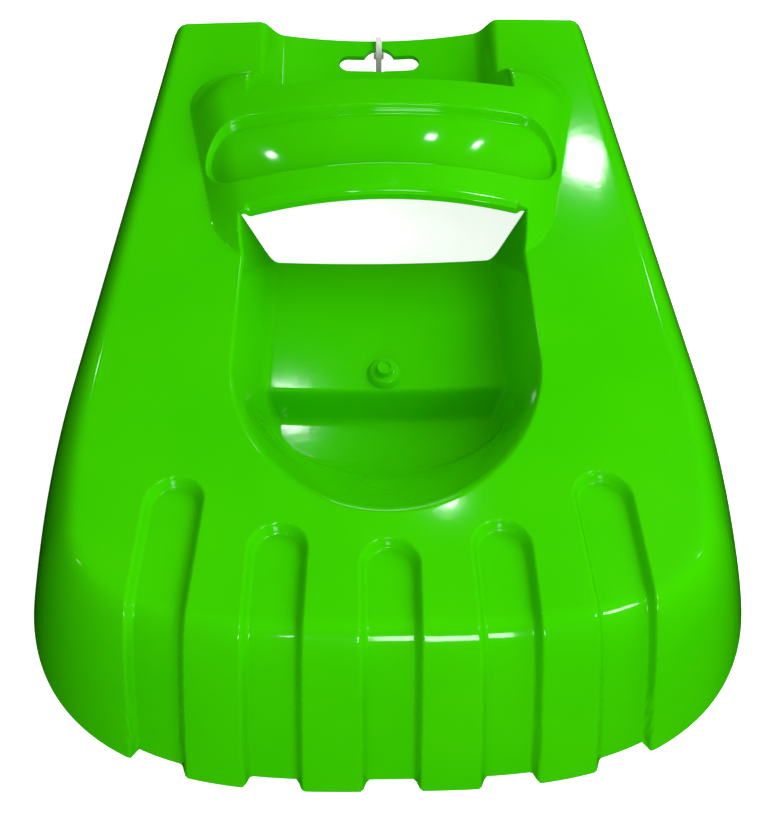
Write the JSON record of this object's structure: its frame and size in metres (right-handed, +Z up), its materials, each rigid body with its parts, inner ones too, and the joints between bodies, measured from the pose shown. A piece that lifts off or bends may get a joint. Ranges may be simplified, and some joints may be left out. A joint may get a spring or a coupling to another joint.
{
  "type": "garden leaf scoop",
  "caption": "Hand-held garden leaf scoop: a moulded claw with grooved fingers, a hand pocket under a grip strap, a wrist band and a hang slot with a cable tie.",
  "frame": {"origin": "centre of the box, at the height of the rim that the scoop rests on, open side down", "axes": "+X to the right seen from behind the wrist end, +Y towards the wrist end, +Z up, out of the back of the hand"},
  "size_m": [0.2738, 0.3302, 0.0809],
  "materials": {
    "green_plastic": "high-gloss moulded polypropylene, lime green",
    "tie_nylon": "natural nylon, slightly clear"
  },
  "bodies": {
    "scoop": {"finger_rake": "green_plastic", "left_flank": "green_plastic", "right_flank": "green_plastic", "hand_pocket": "green_plastic", "grip_strap": "green_plastic", "wrist_band": "green_plastic", "gate_stub": "green_plastic"},
    "tie": {"tie_strap": "tie_nylon", "tie_head": "tie_nylon"}
  },
  "joints": [
    {"name": "tie_swing", "type": "hinge", "parent": "scoop", "child": "tie", "pos_m": [0, 0.1599, 0.03475], "axis": [1, 0, 0], "range_deg": [-60, 100]}
  ]
}
